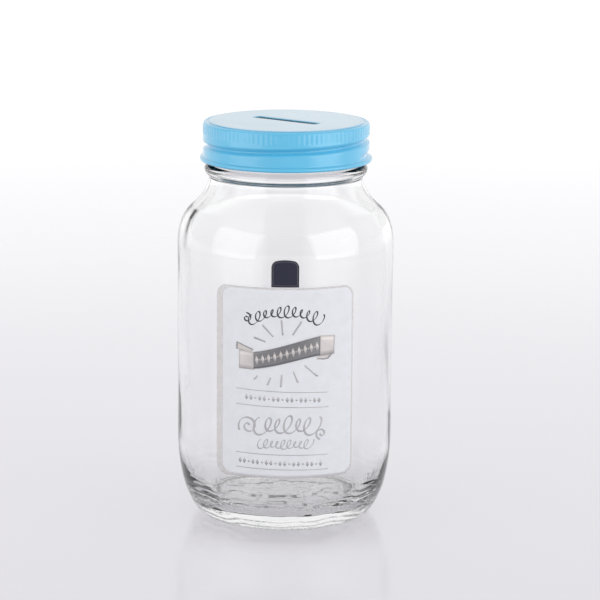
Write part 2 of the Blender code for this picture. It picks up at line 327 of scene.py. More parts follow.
def glass_finish(tint):
    """Clear soda glass: faint tint, faint waviness, and a rough pressed face under the foot."""
    material, place, shader = new_finish("clear_glass")
    height = place.part("Z")
    cast = noise(place, 22.0).ease(0.35, 0.65)
    grain = noise(place, 900.0, 3.0, 0.7).ease(0.35, 0.65)
    rough = (0.45 + 0.55 * grain) * (1.0 - height.ease(0.0010, 0.0042))
    ripple = noise(place, 55.0, 1.0)
    feed(shader, {"Base Color": cast.mix(tint, shade(tint, 0.992)),
                  "Roughness": rough * 0.42, "IOR": 1.50, "Transmission Weight": 1.0,
                  "Normal": bump(ripple, 0.00003)})
    return material


def enamel_finish(tint, lid):
    """Gloss enamel with a slight orange peel, worn at the rolled edge, with a painted sky
    reflection on the panel.
    """
    material, place, shader = new_finish("blue_enamel")
    height = place.part("Z")
    grain = noise(place, 2600.0, 2.0)
    peel = noise(place, 700.0, 2.0, 0.6)
    drift = noise(place, 30.0, 2.0).ease(0.3, 0.7)
    edge = 1.0 - height.ease(lid.bottom, lid.bottom + 0.4 * lid.curl_radius)
    wear = edge * noise(place, 1500.0, 3.0, 0.7).ease(0.52, 0.62)
    base = drift.mix(tint, shade(tint, 0.94))
    base = (grain.ease(0.2, 0.8) * 0.10).mix(base, shade(tint, 1.10))
    # Painted reflection: the raised panel is mixed towards pale grey to stand in for the bright
    # sky that its top reflects.
    panel = height.ease(lid.top - 0.00030, lid.top - 0.00008)
    base = (panel * 0.45).mix(base, (0.56, 0.62, 0.66))
    feed(shader, {"Base Color": (wear * 0.6).mix(base, (0.42, 0.44, 0.46)),
                  "Roughness": 0.27 + 0.10 * drift + 0.2 * wear, "IOR": 1.55,
                  "Coat Weight": 1.0 - 0.8 * wear, "Coat Roughness": 0.04, "Coat IOR": 1.5,
                  "Normal": bump(peel, 0.000006)})
    return material


def liner_finish(tint):
    """Soft sealing compound with a matt, faintly mottled face."""
    material, place, shader = new_finish("liner_rubber")
    mottle = noise(place, 400.0, 3.0).ease(0.3, 0.7)
    feed(shader, {"Base Color": mottle.mix(tint, shade(tint, 0.86)),
                  "Roughness": 0.52 + 0.16 * mottle, "Subsurface Weight": 0.08,
                  "Subsurface Scale": 0.001, "Normal": bump(noise(place, 2200.0, 2.0), 0.00002)})
    return material


def film_finish(tint):
    """Clear sticker film, milky from its glue, with small bubbles of trapped air."""
    material, place, shader = new_finish("label_margin_film")
    haze = noise(place, 160.0, 3.0).ease(0.3, 0.7)
    bubbles = noise(place, 1300.0, 1.0).ease(0.70, 0.74)
    feed(shader, {"Base Color": haze.mix(tint, shade(tint, 1.12)),
                  "Roughness": 0.30 + 0.2 * haze, "Alpha": 0.40 + 0.14 * haze + 0.2 * bubbles,
                  "Normal": bump(noise(place, 700.0, 2.0), 0.00001)})
    return material


def print_finish(name, tint, roughness, gloss=0.0):
    """Flat ink laid by a screen: fine mesh grain and slightly uneven cover."""
    material, place, shader = new_finish(name)
    cover = noise(place, 220.0, 3.0, 0.6).ease(0.25, 0.75)
    mesh = noise(place, 5200.0, 1.0)
    feed(shader, {"Base Color": cover.mix(tint, shade(tint, 0.95)),
                  "Roughness": roughness + 0.12 * mesh, "Specular IOR Level": 0.35 + gloss,
                  "Normal": bump(mesh, 0.000008)})
    return material


def foil_finish(name, tint, roughness, metal):
    """Foil print: metal that is a little brushed and clouded."""
    material, place, shader = new_finish(name)
    cloud = noise(place, 120.0, 2.0).ease(0.25, 0.75)
    stretched = place.vector("MULTIPLY", place, (1.0, 1.0, 14.0))
    brush = noise(stretched, 900.0, 2.0)
    feed(shader, {"Base Color": cloud.mix(shade(tint, 0.90), shade(tint, 1.10)),
                  "Metallic": metal, "Roughness": roughness + 0.14 * brush,
                  "Normal": bump(brush, 0.000006)})
    return material


def studio_finish(glow):
    """White studio floor: glossy card that glows near the jar, painted light that fills in the
    jar's shadow, and glows evenly to white further away.
    """
    material, place, shader = new_finish("studio_floor")
    far = axis_distance(place)
    lit = far.ease(0.25, 1.55)
    card = noise(place, 900.0, 2.0)
    feed(shader, {"Base Color": lit.mix((0.17, 0.17, 0.18), (0.05, 0.05, 0.05)),
                  "Roughness": 0.16 + 0.5 * lit, "Specular IOR Level": 0.45,
                  # Painted light: the glow near the jar stands in for light reaching the floor
                  # through the glass, and washes out the jar's shadow.
                  "Emission Color": lit.mix((0.46, 0.45, 0.475), (1.0, 1.0, 1.0)),
                  "Emission Strength": glow, "Normal": bump(card, 0.00001)})
    return material


# ---- Outlines and meshes ---------------------------------------------------------------------

def arc(centre, size, start, end, steps):
    """Give points on an ellipse from one angle to another, in degrees, both ends included."""
    points = []
    for step in range(steps + 1):
        angle = math.radians(start + (end - start) * step / steps)
        points.append((centre[0] + size[0] * math.cos(angle),
                       centre[1] + size[1] * math.sin(angle)))
    return points


def fillet(start, corner, end, steps):
    """Give the points between start and end of a curve that bends round a corner."""
    points = []
    for step in range(1, steps):
        t = step / steps
        weights = ((1.0 - t) ** 2, 2.0 * t * (1.0 - t), t ** 2)
        points.append(tuple(sum(w * p[i] for w, p in zip(weights, (start, corner, end)))
                            for i in (0, 1)))
    return points


def shoulder_curve(jar, body_radius, size, neck_radius, foot, neck_top):
    """Give the shoulder from the body up to the neck: rounded out, then hollowed into the neck."""
    sweep = jar.shoulder_sweep
    shoulder = arc((body_radius - size[0], foot), size, 0.0, math.degrees(sweep), 22)
    end = shoulder[-1]
    slope = size[1] / (size[0] * math.tan(sweep))
    corner = (neck_radius, end[1] + slope * (end[0] - neck_radius))
    return shoulder + fillet(end, corner, (neck_radius, neck_top), 16) + [(neck_radius, neck_top)]


def between(first, last, steps):
    """Give evenly spaced points after the first one and before the last one."""
    return [tuple(a + (b - a) * step / steps for a, b in zip(first, last))
            for step in range(1, steps)]


def as_object(name, mesh, material=None):
    """Link a smooth-shaded mesh as an object."""
    if material:
        mesh.materials.append(material)
    mesh.shade_smooth()
    piece = bpy.data.objects.new(name, mesh)
    bpy.context.scene.collection.objects.link(piece)
    return piece


def skin(name, rings, loop=False, marks=None):
    """Join rings of points into one closed mesh; a ring of one point is a pole.

    loop joins the last ring to the first. marks holds a value for each ring under a name, which
    becomes a point attribute.
    """
    points = [tuple(point) for ring in rings for point in ring]
    starts = np.cumsum([0] + [len(ring) for ring in rings])
    pairs = list(range(len(rings) - 1)) + ([-1] if loop else [])
    faces = []
    for lower in pairs:
        first, second = rings[lower], rings[lower + 1]
        base, top = starts[lower % len(rings)], starts[(lower + 1) % len(rings)]
        columns = max(len(first), len(second))
        for here in range(columns):
            there = (here + 1) % columns
            corners = [base + here % len(first), base + there % len(first),
                       top + there % len(second), top + here % len(second)]
            faces.append(list(dict.fromkeys(corners)))
    mesh = bpy.data.meshes.new(name)
    mesh.from_pydata(points, [], faces)
    for mark, values in (marks or {}).items():
        spread = [value for value, ring in zip(values, rings) for _ in ring]
        mesh.attributes.new(mark, "FLOAT", "POINT").data.foreach_set("value", spread)
    return faced_out(mesh)


def faced_out(mesh, merge=False):
    """Turn a closed mesh's faces outwards, after merging its doubled points if merge is set."""
    form = bmesh.new()
    form.from_mesh(mesh)
    if merge:
        bmesh.ops.remove_doubles(form, verts=form.verts, dist=1e-7)
    bmesh.ops.recalc_face_normals(form, faces=form.faces[:])
    form.to_mesh(mesh)
    form.free()
    return mesh


def turned_rings(rows, angles):
    """Give the ring of points that each (radius, height) row sweeps round the Z axis."""
    cosines, sines = np.cos(angles), np.sin(angles)
    rings = []
    for radius, height in rows:
        if radius == 0.0:
            rings.append(np.array([[0.0, 0.0, height]]))
        else:
            rings.append(np.stack([radius * cosines, radius * sines,
                                   np.full(len(angles), height)], axis=1))
    return rings


def even_angles(steps):
    """Give evenly spaced angles round a circle."""
    return np.arange(steps) * math.tau / steps


def slab(name, columns, rows, low, high):
    """Make a thin flat sheet between two lifts from columns of (lower, upper) points."""
    rings = []
    for lift in (low, high):
        for lower, upper in columns:
            rings.append([(lower[0] + (upper[0] - lower[0]) * row / rows, -lift,
                           lower[1] + (upper[1] - lower[1]) * row / rows)
                          for row in range(rows + 1)])
    wide = len(columns)
    tall = rows + 1
    points = [point for ring in rings for point in ring]

    def spot(layer, column, row):
        return (layer * wide + column) * tall + row

    faces = []
    for column in range(wide - 1):
        for row in range(rows):
            quad = [(column, row), (column + 1, row), (column + 1, row + 1), (column, row + 1)]
            faces.append([spot(0, *corner) for corner in quad])
            faces.append([spot(1, *corner) for corner in reversed(quad)])
    edge = [(column, 0) for column in range(wide)]
    edge += [(wide - 1, row) for row in range(1, tall)]
    edge += [(column, rows) for column in range(wide - 2, -1, -1)]
    edge += [(0, row) for row in range(rows - 1, 0, -1)]
    for here, there in zip(edge, edge[1:] + edge[:1]):
        faces.append([spot(0, *here), spot(0, *there), spot(1, *there), spot(1, *here)])
    mesh = bpy.data.meshes.new(name)
    mesh.from_pydata(points, [], faces)
    return as_object(name, faced_out(mesh, merge=True))


def point_cloud(name, points, **attributes):
    """Make an object of loose points with named attributes, for a tree to build on."""
    mesh = bpy.data.meshes.new(name)
    mesh.from_pydata(points, [], [])
    for label, values in attributes.items():
        wide = isinstance(values[0], tuple)
        layer = mesh.attributes.new(label, "FLOAT_VECTOR" if wide else "FLOAT", "POINT")
        flat = [part for value in values for part in value] if wide else values
        layer.data.foreach_set("vector" if wide else "value", flat)
    return as_object(name, mesh)


def stroke_line(name, paths):
    """Make an object of polylines from flat paths of (across, height) points."""
    points = []
    edges = []
    for path in paths:
        edges += [(len(points) + i, len(points) + i + 1) for i in range(len(path) - 1)]
        points += [(x, 0.0, z) for x, z in path]
    mesh = bpy.data.meshes.new(name)
    mesh.from_pydata(points, edges, [])
    return as_object(name, mesh)


# ---- Geometry Nodes --------------------------------------------------------------------------

SOCKET_KINDS = {int: "NodeSocketInt", float: "NodeSocketFloat"}


def new_tree(name, values):
    """Start a tree with an input for each named value, and give it with a wire for each input."""
    tree = bpy.data.node_groups.new(name, "GeometryNodeTree")
    tree.interface.new_socket("Geometry", in_out="OUTPUT", socket_type="NodeSocketGeometry")
    tree.interface.new_socket("Geometry", in_out="INPUT", socket_type="NodeSocketGeometry")
    tree.interface.new_socket("Material", in_out="INPUT", socket_type="NodeSocketMaterial")
    for label, value in values.items():
        socket = tree.interface.new_socket(label, in_out="INPUT",
                                           socket_type=SOCKET_KINDS[type(value)])
        socket.default_value = value
    entry = tree.nodes.new("NodeGroupInput")
    wires = {socket.name: Wire(tree, socket) for socket in entry.outputs if socket.name}
    return tree, wires


def end_tree(geometry, wires):
    """End a tree: real geometry, smooth, with the material that its input names."""
    solid = geometry.node("GeometryNodeRealizeInstances", None, {"Geometry": geometry})
    smooth = solid.node("GeometryNodeSetShadeSmooth", None, {"Geometry": solid})
    painted = smooth.node("GeometryNodeSetMaterial", None,
                          {"Geometry": smooth, "Material": wires["Material"]})
    painted.node("NodeGroupOutput", None, {"Geometry": painted})


def grow(source, make_tree, material, values):
    """Run a tree on an object, and leave the object with the plain mesh that the tree makes."""
    tree = make_tree(values)
    modifier = source.modifiers.new(tree.name, "NODES")
    modifier.node_group = tree
    chosen = {"Material": material, **values}
    for item in tree.interface.items_tree:
        if item.item_type == "SOCKET" and item.in_out == "INPUT" and item.name in chosen:
            modifier[item.identifier] = chosen[item.name]
    graph = bpy.context.evaluated_depsgraph_get()
    mesh = bpy.data.meshes.new_from_object(source.evaluated_get(graph), depsgraph=graph)
    source.modifiers.clear()
    source.data = mesh
    mesh.name = source.name
    if not mesh.polygons:
        raise RuntimeError(f"{source.name}: the tree {tree.name} made no faces")
    return source


def moved(geometry, position):
    """Put every point of a geometry at a new position."""
    return geometry.node("GeometryNodeSetPosition", None,
                         {"Geometry": geometry, "Position": position})


def joined(x, y, z):
    """Join three values into a vector."""
    wire = next(part for part in (x, y, z) if isinstance(part, Wire))
    return wire.node("ShaderNodeCombineXYZ", None, {"X": x, "Y": y, "Z": z})


def thread_share(angle, height, wires):
    """Give 0 to 1 for how far a point lies on the helical thread, which fades at both ends."""
    full = wires["Thread Turns"] * math.tau
    total = None
    for turns in (0.0, 1.0):
        along = angle + (math.tau * turns - wires["Thread Angle"])
        middle = wires["Thread Start"] + wires["Thread Pitch"] * along / math.tau
        across = (height - middle).maths("ABSOLUTE", height - middle) / wires["Thread Half"]
        bell = across.maths("MINIMUM", across, 1.0) * (0.5 * math.pi)
        bell = bell.maths("COSINE", bell) ** 2.0
        fade = along.maths("MINIMUM", along / wires["Run-out"], (full - along) / wires["Run-out"])
        share = fade.node("ShaderNodeClamp", None, {"Value": fade}) * bell
        total = share if total is None else total.maths("MAXIMUM", total, share)
    return total


def relief_start(name, values):
    """Start a tree that reworks a turned shape, with wires for position, angle and radius."""
    tree, wires = new_tree(name, values)
    place = Wire(tree).node("GeometryNodeInputPosition")
    x, y = place.part("X"), place.part("Y")
    radius = (x * x + y * y) ** 0.5
    return tree, wires, place, x.maths("ARCTAN2", y, x), radius


def named(wires, label):
    """Read a named point attribute."""
    start = next(iter(wires.values()))
    return start.node("GeometryNodeInputNamedAttribute", {"data_type": "FLOAT"}, {"Name": label})


def pushed(place, radius, outwards, upwards):
    """Give positions moved away from the axis and up."""
    grown = 1.0 + outwards / radius
    return joined(place.part("X") * grown, place.part("Y") * grown, place.part("Z") + upwards)


def jar_relief_tree(values):
    """Tree for the glass: thread, mould seams, wavy wall, pressed rings and notched bearing."""
    tree, wires, place, angle, radius = relief_start("Jar relief", values)
    height = place.part("Z")
    inside = named(wires, "inside")
    thread = named(wires, "threaded") * wires["Thread Height"] * thread_share(angle, height, wires)
    beside = angle - wires["Seam Azimuth"]
    beside = (radius * beside.maths("COSINE", beside)) / wires["Seam Half Width"]
    seam = 1.0 - beside.maths("ABSOLUTE", beside).ease(0.0, 1.0)
    outer = seam * wires["Seam Height"] * (1.0 - inside)
    wave = 0.0
    for share, lobes, rise, phase in ((0.45, 3, 46.0, 0.4), (0.25, 7, -85.0, 1.3),
                                      (0.18, 12, 38.0, 2.1), (0.12, 19, 120.0, 0.0)):
        swing = angle * float(lobes) + height * rise + phase
        wave = wave + share * swing.maths("SINE", swing)
    calm = radius.ease(0.015, 0.030) * (1.0 - height.ease(wires["Wave Top"] - 0.010,
                                                          wires["Wave Top"]))
    across = (radius - wires["Bearing Inner"]) / (wires["Bearing Outer"] - wires["Bearing Inner"])
    across = across.node("ShaderNodeClamp", None, {"Value": across}) * math.pi
    notch = angle * wires["Stipples"]
    notch = 0.5 - 0.5 * notch.maths("COSINE", notch)
    low = (1.0 - inside) * (1.0 - height.ease(0.0022, 0.0030))
    lift = low * across.maths("SINE", across) * notch * wires["Stipple Height"]
    wander = 1.4 * wave + 0.25 * angle.maths("SINE", angle * 5.0)
    rings = (radius + height * 1.6) * math.tau / wires["Ripple Width"] + wander * 3.0
    rings = rings.maths("SINE", rings) * wires["Ripple"] * (
        1.0 - height.ease(0.4 * wires["Ripple Top"], wires["Ripple Top"]))
    side = height.ease(0.10 * wires["Ripple Top"], 0.6 * wires["Ripple Top"])
    basin = inside * rings * radius.ease(0.004, 0.012)
    beneath = (1.0 - inside) * (1.0 - side) * rings * height.ease(0.0006, 0.0016)
    lift = lift + (basin + beneath * radius.ease(0.004, 0.012)) * (1.0 - side)
    skirt = (1.0 - inside) * rings * 0.6 * side
    outwards = thread + outer + wave * wires["Wave"] * inside * calm + basin * side + skirt
    end_tree(moved(wires["Geometry"], pushed(place, radius, outwards, lift)), wires)
    return tree


def lid_relief_tree(values):
    """Tree for the lid: grip flutes round the top of the skirt, and the thread's groove."""
    tree, wires, place, angle, radius = relief_start("Lid relief", values)
    height = place.part("Z")
    valley = angle * wires["Flutes"]
    valley = 0.5 - 0.5 * valley.maths("COSINE", valley)
    band = (1.0 - height.ease(wires["Flute Top"] - 0.0009, wires["Flute Top"])) * height.ease(
        wires["Flute Bottom"], wires["Flute Bottom"] + 0.0009)
    sunk = band * valley * wires["Flute Depth"]
    clear = height.ease(wires["Curl Top"], wires["Curl Top"] + 0.0012)
    sunk = sunk + thread_share(angle, height, wires) * wires["Groove Depth"] * clear
    outwards = sunk * named(wires, "skirt") * -1.0
    end_tree(moved(wires["Geometry"], pushed(place, radius, outwards, 0.0)), wires)
    return tree


def wrapped(geometry, wires):
    """Wrap flat geometry round the glass, whose heel curves in below the straight body."""
    place = geometry.node("GeometryNodeInputPosition")
    drop = (wires["Heel Height"] - place.part("Z")) / wires["Heel Height"]
    drop = drop.node("ShaderNodeClamp", None, {"Value": drop})
    surface = wires["Body Radius"] - wires["Heel Width"] * (1.0 - (1.0 - drop * drop) ** 0.5)
    radius = surface - place.part("Y")
    angle = wires["Azimuth"] - 0.5 * math.pi + place.part("X") / wires["Body Radius"]
    position = joined(radius * angle.maths("COSINE", angle), radius * angle.maths("SINE", angle),
                      place.part("Z"))
    return moved(geometry, position)


def wrap_tree(values):
    """Tree that wraps a flat layer round the glass."""
    tree, wires = new_tree("Wrap on glass", values)
    end_tree(wrapped(wires["Geometry"], wires), wires)
    return tree


def ornament_tree(values):
    """Tree that sets a small upright prism at each point: a lozenge, a star point or a dot."""
    tree, wires = new_tree("Printed ornaments", values)
    prism = Wire(tree).node("GeometryNodeMeshCylinder", {"fill_type": "NGON"},
                            {"Vertices": wires["Sides"], "Radius": 1.0, "Depth": 1.0})
    instances = instanced(wires, prism, 0.5 * math.pi)
    end_tree(wrapped(instances, wires), wires)
    return tree


def bar_tree(values):
    """Tree that lays a bar, narrower at its far end, along each point's direction."""
    tree, wires = new_tree("Printed bars", values)
    bar = Wire(tree).node("GeometryNodeMeshCube", None,
                          {"Size": (1.0, 1.0, 1.0), "Vertices X": wires["Steps"]})
    place = bar.node("GeometryNodeInputPosition")
    slim = 1.0 - wires["Taper"] * (place.part("X") + 0.5)
    bar = moved(bar, joined(place.part("X"), place.part("Y"), place.part("Z") * slim))
    end_tree(wrapped(instanced(wires, bar, 0.0), wires), wires)
    return tree


def instanced(wires, element, tip):
    """Put an element at each point, sized and turned by the point's attributes."""
    size = element.node("GeometryNodeInputNamedAttribute", {"data_type": "FLOAT_VECTOR"},
                        {"Name": "size"})
    rotation = joined(tip, named(wires, "turned"), 0.0)
    rotation = rotation.node("FunctionNodeEulerToRotation", None, {"Euler": rotation})
    placed = element.node("GeometryNodeInstanceOnPoints", None,
                          {"Points": wires["Geometry"], "Instance": element,
                           "Rotation": rotation, "Scale": size})
    return placed.node("GeometryNodeRealizeInstances", None, {"Geometry": placed})


def stroke_tree(values):
    """Tree that draws pen strokes along flat lines, broad or fine by the pen's direction."""
    tree, wires = new_tree("Pen strokes", values)
    line = wires["Geometry"].node("GeometryNodeMeshToCurve", None, {"Mesh": wires["Geometry"]})
    line = line.node("GeometryNodeResampleCurve", {"mode": "LENGTH"},
                     {"Curve": line, "Length": wires["Spacing"]})
    tangent = line.node("GeometryNodeInputTangent")
    across = tangent.part("X") * wires["Pen Angle"].maths("SINE", wires["Pen Angle"])
    across = across - tangent.part("Z") * across.maths("COSINE", wires["Pen Angle"])
    broad = across.maths("ABSOLUTE", across)
    width = wires["Fine"] + (wires["Broad"] - wires["Fine"]) * broad
    ring = line.node("GeometryNodeCurvePrimitiveCircle", None, {"Resolution": 8, "Radius": 1.0})
    pipe = line.node("GeometryNodeCurveToMesh", None,
                     {"Curve": line, "Profile Curve": ring, "Scale": width, "Fill Caps": True})
    place = pipe.node("GeometryNodeInputPosition")
    thin = place.part("Y") * (wires["Relief"] / wires["Broad"]) - wires["Lift"]
    flat = moved(pipe, joined(place.part("X"), thin, place.part("Z")))
    end_tree(wrapped(flat, wires), wires)
    return tree


# ---- Glass jar and sealing ring --------------------------------------------------------------

def jar_rows(jar):
    """Give the jar's outline, from under its floor round to the top of its floor.

    A row is a radius and a height. Two lists mark the rows of the inner side and of the thread.
    """
    foot = jar.body_radius - jar.heel_width
    inner_foot = foot - jar.bearing_width
    slope = inner_foot - jar.push_up_slope
    middle, brow = (0.0, jar.push_up), (0.7 * slope, 0.97 * jar.push_up)
    under = [middle] + between(middle, brow, 10) + [brow]
    under += fillet(brow, (slope, 0.9 * jar.push_up), (slope, 0.75 * jar.push_up), 4)[1:]
    under += fillet((slope, 0.75 * jar.push_up), (inner_foot - 0.001, 0.0), (inner_foot, 0.0), 7)
    under += [(inner_foot, 0.0)] + between((inner_foot, 0.0), (foot, 0.0), 6)
    heel = arc((foot, jar.heel_height), (jar.heel_width, jar.heel_height), -90.0, 0.0, 44)
    neck_radius = jar.finish_radius + 0.00025
    shoulder_foot = jar.height - jar.shoulder_drop
    neck_top = shoulder_foot + jar.shoulder_height + jar.neck_fillet
    shoulder = shoulder_curve(jar, jar.body_radius, (jar.shoulder_width, jar.shoulder_height),
                              neck_radius, shoulder_foot, neck_top)
    outer = under + heel + between(heel[-1], shoulder[0], 4) + shoulder
    bead = arc((jar.finish_radius, jar.height - jar.bead_drop), (jar.bead_reach, jar.bead_half),
               -80.0, 80.0, 12)
    rim = jar.height - jar.rim_round
    low = (jar.finish_radius, bead[-1][1] + 0.0004)
    finish = [low] + between(low, (jar.finish_radius, rim), 40) + [(jar.finish_radius, rim)]
    edge = arc((jar.finish_radius - jar.rim_round, rim), (jar.rim_round, jar.rim_round),
               15.0, 90.0, 4)
    mouth = jar.finish_radius - jar.finish_wall
    inner = arc((mouth + jar.rim_round, rim), (jar.rim_round, jar.rim_round), 90.0, 180.0, 5)
    inner_radius = jar.body_radius - jar.wall
    size = (0.9 * jar.shoulder_width, jar.shoulder_height - 0.5 * jar.shoulder_wall)
    inner_shoulder = shoulder_curve(jar, inner_radius, size, mouth, shoulder_foot,
                                    neck_top)[::-1]
    inner += between(inner[-1], inner_shoulder[0], 3)
    floor = jar.push_up + jar.floor
    inner_heel = arc((inner_radius - jar.inner_heel_width, floor + jar.inner_heel_height),
                     (jar.inner_heel_width, jar.inner_heel_height), 0.0, -90.0, 26)
    inner += inner_shoulder + between(inner_shoulder[-1], inner_heel[0], 16) + inner_heel
    inner += between(inner_heel[-1], (0.0, floor), 14) + [(0.0, floor)]
    rows = outer + bead + finish + edge + inner
    inside = [0.0] * (len(rows) - len(inner)) + [1.0] * len(inner)
    before = len(outer) + len(bead)
    threaded = [1.0 if before <= i < before + len(finish) else 0.0 for i in range(len(rows))]
    return rows, inside, threaded


def jar_angles(jar, label):
    """Give the jar's column angles: even, with a few close together at each mould seam."""
    angles = list(even_angles(4 * jar.stipples))
    for side in (0.0, math.pi):
        for step in (-1.0, -0.6, -0.3, 0.0, 0.3, 0.6, 1.0):
            angles.append((label.azimuth + side + step * jar.seam_half / jar.body_radius)
                          % math.tau)
    return np.unique(np.round(angles, 6))


def make_jar(jar, thread, label, finishes):
    """Make the glass body as one closed wall of glass."""
    rows, inside, threaded = jar_rows(jar)
    rings = turned_rings(rows, jar_angles(jar, label))
    source = as_object("jar_glass", skin("jar_glass", rings, marks={"inside": inside,
                                                                    "threaded": threaded}))
    values = thread_values(jar, thread, 0.0, thread.half_width)
    foot = jar.body_radius - jar.heel_width
    values.update({"Thread Height": thread.height, "Seam Height": jar.seam_height,
                   "Seam Half Width": jar.seam_half, "Seam Azimuth": label.azimuth - math.pi / 2,
                   "Wave": jar.wave, "Wave Top": jar.height - 0.5 * jar.shoulder_drop,
                   "Ripple": jar.ripple, "Ripple Width": jar.ripple_width,
                   "Ripple Top": jar.ripple_top, "Stipples": jar.stipples,
                   "Stipple Height": jar.stipple_height,
                   "Bearing Inner": foot - jar.bearing_width, "Bearing Outer": foot + 0.0030})
    return grow(source, jar_relief_tree, glass_finish(finishes.glass), values)


def thread_values(jar, thread, drop, half_width):
    """Give the tree inputs that the thread and its groove share."""
    return {"Thread Pitch": thread.pitch, "Thread Turns": thread.turns,
            "Thread Angle": thread.start, "Run-out": thread.run_out,
            "Thread Start": jar.height - thread.start_drop - drop, "Thread Half": half_width}


def make_ring(lid, finishes):
    """Make the sealing ring with rounded edges and a shallow groove where the rim presses."""
    low, high = RING_LOW.z, RING_HIGH.z
    edge = 0.3 * (high - low)
    steps = 5
    corners = ((lid.ring_outer - edge, high - edge, 90.0, 0.0),
               (lid.ring_outer - edge, low + edge, 0.0, -90.0),
               (lid.ring_inner + edge, low + edge, -90.0, -180.0),
               (lid.ring_inner + edge, high - edge, 180.0, 90.0))
    rows = []
    for radius, height, start, end in corners:
        rows += arc((radius, height), (edge, edge), start, end, steps)
    middle = 0.5 * (lid.ring_inner + lid.ring_outer)
    groove = [(middle + 0.0008, low), (middle, low + 0.25 * edge), (middle - 0.0008, low)]
    underside = 2 * (steps + 1)
    rows[underside:underside] = groove
    mesh = skin("seal_ring", turned_rings(rows, even_angles(180)), loop=True)
    return as_object("seal_ring", mesh, liner_finish(finishes.liner))


# ---- Screw lid -------------------------------------------------------------------------------

def slot_ring(lid, offset, height, angles):
    """Give points round the coin slot's outline, moved out by an offset.

    A column's share of the turn is its share of the way round the outline, so that the columns
    fan out evenly from the slot to the round panel.
    """
    corner = lid.slot_corner + offset
    half_x = 0.5 * lid.slot_length + offset - corner
    half_y = 0.5 * lid.slot_width + offset - corner
    bend = 0.5 * math.pi * corner
    whole = 4.0 * (half_x + half_y + bend)
    points = []
    for angle in angles:
        half, rest = divmod(angle / math.tau * whole + half_y, 0.5 * whole)
        side = -1.0 if half == 1.0 else 1.0
        if rest < 2.0 * half_y:
            x, y = half_x + corner, rest - half_y
        elif rest < 2.0 * half_y + bend:
            sweep = (rest - 2.0 * half_y) / corner
            x, y = half_x + corner * math.cos(sweep), half_y + corner * math.sin(sweep)
        elif rest < 2.0 * half_y + bend + 2.0 * half_x:
            x, y = half_x - (rest - 2.0 * half_y - bend), half_y + corner
        else:
            sweep = 0.5 * math.pi + (rest - 2.0 * half_y - bend - 2.0 * half_x) / corner
            x, y = -half_x + corner * math.cos(sweep), half_y + corner * math.sin(sweep)
        points.append((side * x, side * y, height))
    return np.array(points)


def lid_rings(lid, angles):
    """Give the lid's rings, out from the slot over the top and skirt and back on the inside."""
    crown = lid.top - lid.panel_rise
    moat = crown - lid.moat_depth
    crown_radius = lid.skirt_radius - lid.crown_width
    moat_radius = crown_radius - lid.moat_width
    panel_radius = moat_radius - lid.panel_edge
    curl_top = lid.bottom + 2.0 * lid.curl_radius
    skirt_top = crown - lid.crown_drop

    outer_steps, inner_steps = 14, 6

    def top_side(depth, panel_steps, crown_steps):
        """Give the rings of the top from the slot's lip to the skirt, at a depth in the sheet."""
        bend = lid.lip_bend - depth
        rings = [slot_ring(lid, depth, lid.top - lid.lip, angles)]
        for radius, height in arc((0.0, lid.top - lid.lip_bend), (bend, bend), 180.0, 90.0, 5):
            rings.append(slot_ring(lid, lid.lip_bend + radius, height, angles))
        start = rings[-1]
        end = turned_rings([(panel_radius, lid.top - depth)], angles)[0]
        for step in range(1, panel_steps):
            share = (step / panel_steps) ** 1.3
            rings.append(start + (end - start) * share)
        high, low = lid.top - depth, moat - depth
        rows = [(panel_radius, high)]
        rows += fillet((panel_radius, high), (panel_radius + 0.45 * lid.panel_edge, high),
                       (panel_radius + 0.5 * lid.panel_edge, 0.5 * (high + low)), 4)
        rows += [(panel_radius + 0.5 * lid.panel_edge, 0.5 * (high + low))]
        rows += fillet(rows[-1], (panel_radius + 0.6 * lid.panel_edge, low),
                       (moat_radius, low), 4)
        rows += [(moat_radius, low)]
        size = (lid.crown_width - depth, lid.crown_drop - depth)
        rows += arc((crown_radius, skirt_top), size, 125.0, 0.0, crown_steps)
        return rings + turned_rings(rows, angles)

    outer = top_side(0.0, 12, outer_steps)
    foot = curl_top + 0.3 * lid.curl_radius
    skirt = between((lid.skirt_radius, skirt_top), (lid.skirt_radius, foot), 50)
    curl = arc((lid.skirt_radius + 0.35 * lid.curl_radius, lid.bottom + lid.curl_radius),
               (lid.curl_radius, lid.curl_radius), 100.0, -90.0, 13)
    bore = lid.skirt_radius - lid.sheet
    tuck = fillet(curl[-1], (bore, lid.bottom), (bore, lid.bottom + 0.8 * lid.curl_radius), 4)
    back = between((bore, lid.bottom + 0.8 * lid.curl_radius), (bore, skirt_top), 26)
    inner = top_side(lid.sheet, 4, inner_steps)[::-1]
    rings = outer + turned_rings(skirt + curl + tuck + back, angles) + inner
    stretches = ((0.0, len(outer) - outer_steps - 1), (1.0, outer_steps + 1 + len(skirt)),
                 (0.0, len(curl) + len(tuck)), (1.0, len(back) + inner_steps + 1),
                 (0.0, len(inner) - inner_steps - 1))
    return rings, [mark for mark, rows in stretches for _ in range(rows)]


def make_lid(lid, jar, thread, finishes):
    """Make the screw lid as one closed sheet, open only at its coin slot."""
    angles = even_angles(6 * lid.flutes)
    rings, marks = lid_rings(lid, angles)
    source = as_object("lid_shell", skin("lid_shell", rings, loop=True, marks={"skirt": marks}))
    values = thread_values(jar, thread, thread.groove_drop, thread.groove_half)
    values.update({"Groove Depth": thread.groove_depth, "Flutes": lid.flutes,
                   "Flute Depth": lid.flute_depth, "Flute Top": lid.top - lid.flute_top,
                   "Flute Bottom": lid.top - lid.flute_bottom,
                   "Curl Top": lid.bottom + 2.0 * lid.curl_radius})
    return grow(source, lid_relief_tree, enamel_finish(finishes.enamel, lid), values)


# ---- Stickers --------------------------------------------------------------------------------

def wrap_values(jar, label):
    """Give the tree inputs that lay a flat layer on the glass."""
    return {"Body Radius": jar.body_radius, "Heel Width": jar.heel_width,
            "Heel Height": jar.heel_height, "Azimuth": label.azimuth}


